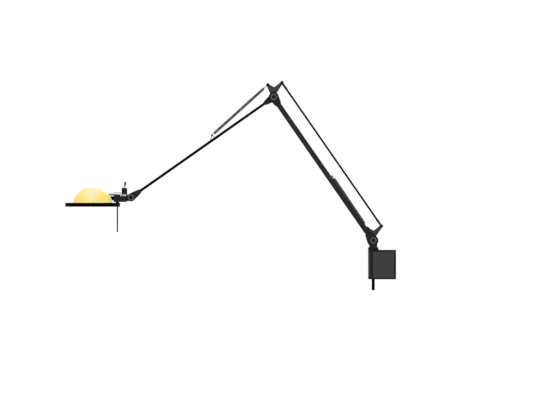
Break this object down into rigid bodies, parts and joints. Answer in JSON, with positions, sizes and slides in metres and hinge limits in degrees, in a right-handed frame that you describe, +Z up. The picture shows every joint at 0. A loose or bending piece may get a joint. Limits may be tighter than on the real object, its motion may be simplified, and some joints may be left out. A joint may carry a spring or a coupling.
{
  "type": "articulating wall lamp",
  "caption": "Balanced-arm wall lamp: wall box with spindle, two spring-balanced arms with tie rod and yokes, and a tilting head with a disc and a glass dome.",
  "frame": {"origin": "centre of the wall box's back face, on the wall", "axes": "-X out of the wall into the room, +Z up, Y across; +Y is left as seen facing the wall"},
  "size_m": [0.8522, 0.1412, 0.5397],
  "materials": {
    "box_paint": "dark grey-black satin paint",
    "plate_steel": "zinc-grey plate",
    "arm_black": "black satin lacquer",
    "rod_black": "deep black lacquer",
    "moulded_black": "moulded black plastic, fine satin",
    "disc_black": "near-black moulded plastic, satin",
    "steel": "plain steel",
    "bolt_black": "black oxide steel",
    "spring_steel": "bright spring steel",
    "switch_metal": "light nickel",
    "lever_black": "glossy black",
    "handle_black": "black steel wire",
    "yellow_glass": "satin yellow opal glass",
    "clear_glass": "clear frosted glass",
    "bulb_glass": "quartz capsule, lit",
    "reflector_aluminium": "bright aluminium",
    "brass": "brass",
    "inner_plastic": "natural moulded plastic",
    "terminal_plastic": "ivory plastic",
    "transformer_case": "potted case",
    "lead_sheath": "silicone sheath"
  },
  "bodies": {
    "wall_box": {"wall_plate": "plate_steel", "wall_box_cover": "box_paint", "spindle_bracket": "inner_plastic", "spindle_bushes": "inner_plastic", "transformer": "transformer_case", "terminal_block": "terminal_plastic", "internal_leads": "lead_sheath", "contact_springs": "brass", "cover_screws": "steel"},
    "spindle": {"spindle": "rod_black", "thrust_collar": "arm_black", "insulating_sleeve": "inner_plastic", "contact_rings": "brass", "spindle_clip": "steel", "base_yoke": "moulded_black", "base_yoke_pins": "bolt_black"},
    "lower_arm": {"lower_arm_bar_left": "arm_black", "lower_arm_bar_right": "arm_black", "base_cheek_left": "moulded_black", "base_cheek_right": "moulded_black", "elbow_cheek_left": "moulded_black", "elbow_cheek_right": "moulded_black", "arm_pivot_bolts": "bolt_black", "arm_pivot_nuts": "bolt_black", "spring_anchor": "steel", "bar_spacer": "moulded_black", "bar_rivets": "bolt_black"},
    "tie_rod": {"tie_rod": "rod_black", "tie_rod_ends": "moulded_black"},
    "elbow": {"elbow_yoke": "moulded_black", "elbow_yoke_pins": "bolt_black"},
    "outer_arm": {"outer_arm_tube": "arm_black", "elbow_fork": "moulded_black", "head_fork": "moulded_black", "spring_loop": "spring_steel", "head_pivot_bolt": "bolt_black", "head_pivot_nut": "bolt_black"},
    "lower_spring": {"lower_spring": "spring_steel", "lower_spring_plug": "spring_steel"},
    "lower_hook": {"lower_spring_hook_rod": "spring_steel"},
    "outer_spring": {"outer_spring": "spring_steel", "outer_spring_plug": "spring_steel"},
    "outer_hook": {"outer_spring_hook_rod": "spring_steel"},
    "head": {"head_bracket": "moulded_black", "head_leads": "lead_sheath", "shade_disc": "disc_black", "reflector": "reflector_aluminium", "lower_glass": "clear_glass", "glass_retainer": "steel", "glass_dome": "yellow_glass", "dome_clip": "moulded_black", "handle_rod": "handle_black", "disc_spacer": "moulded_black", "lamp_holder": "switch_metal", "halogen_bulb": "bulb_glass", "switch_nut": "switch_metal", "switch_body": "moulded_black", "switch_bushing": "switch_metal"},
    "switch_lever": {"switch_lever": "lever_black"}
  },
  "joints": [
    {"name": "base_swivel", "type": "hinge", "parent": "wall_box", "child": "spindle", "pos_m": [-0.058, 0, 0], "axis": [0, 0, 1], "range_deg": [-85, 85]},
    {"name": "lower_arm_pivot", "type": "hinge", "parent": "spindle", "child": "lower_arm", "pos_m": [-0.058, 0, 0.062], "axis": [0, 1, 0], "range_deg": [-35, 22], "deforming": ["lower_spring"]},
    {"name": "tie_rod_pivot", "type": "hinge", "parent": "spindle", "child": "tie_rod", "pos_m": [-0.0369, 0, 0.0993], "axis": [0, 1, 0], "range_deg": [-35, 22]},
    {"name": "elbow_yoke_pivot", "type": "hinge", "parent": "lower_arm", "child": "elbow", "pos_m": [-0.3145, 0, 0.43174], "axis": [0, 1, 0], "range_deg": [-22, 35]},
    {"name": "lower_spring_anchor_pivot", "type": "hinge", "parent": "lower_arm", "child": "lower_spring", "pos_m": [-0.16356, 0, 0.22732], "axis": [0, 1, 0], "range_deg": [-7.36, 4.81]},
    {"name": "lower_hook_pivot", "type": "hinge", "parent": "spindle", "child": "lower_hook", "pos_m": [-0.0732, 0, 0.0935], "axis": [0, 1, 0], "range_deg": [-42.36, 26.81]},
    {"name": "outer_arm_pivot", "type": "hinge", "parent": "elbow", "child": "outer_arm", "pos_m": [-0.3145, 0, 0.43174], "axis": [0, 1, 0], "range_deg": [-35, 45], "deforming": ["outer_spring"]},
    {"name": "outer_spring_anchor_pivot", "type": "hinge", "parent": "outer_arm", "child": "outer_spring", "pos_m": [-0.47382, 0, 0.33321], "axis": [0, 1, 0], "range_deg": [-1.58, 1.34]},
    {"name": "outer_hook_pivot", "type": "hinge", "parent": "elbow", "child": "outer_hook", "pos_m": [-0.3297, 0, 0.46324], "axis": [0, 1, 0], "range_deg": [-34.66, 44.42]},
    {"name": "head_tilt", "type": "hinge", "parent": "outer_arm", "child": "head", "pos_m": [-0.68267, 0, 0.17299], "axis": [0, 1, 0], "range_deg": [-90, 45]},
    {"name": "switch_toggle", "type": "hinge", "parent": "head", "child": "switch_lever", "pos_m": [-0.69967, 0, 0.19879], "axis": [0, 1, 0], "range_deg": [-22, 0]}
  ],
  "couplings": [
    {"joint": "tie_rod_pivot", "follows": "lower_arm_pivot", "ratio": 1},
    {"joint": "elbow_yoke_pivot", "follows": "lower_arm_pivot", "ratio": -1},
    {"joint": "lower_spring_anchor_pivot", "follows": "lower_arm_pivot", "ratio": 0.196},
    {"joint": "lower_hook_pivot", "follows": "lower_arm_pivot", "ratio": 1.196},
    {"joint": "outer_spring_anchor_pivot", "follows": "outer_arm_pivot", "ratio": -0.024},
    {"joint": "outer_hook_pivot", "follows": "outer_arm_pivot", "ratio": 0.976}
  ]
}
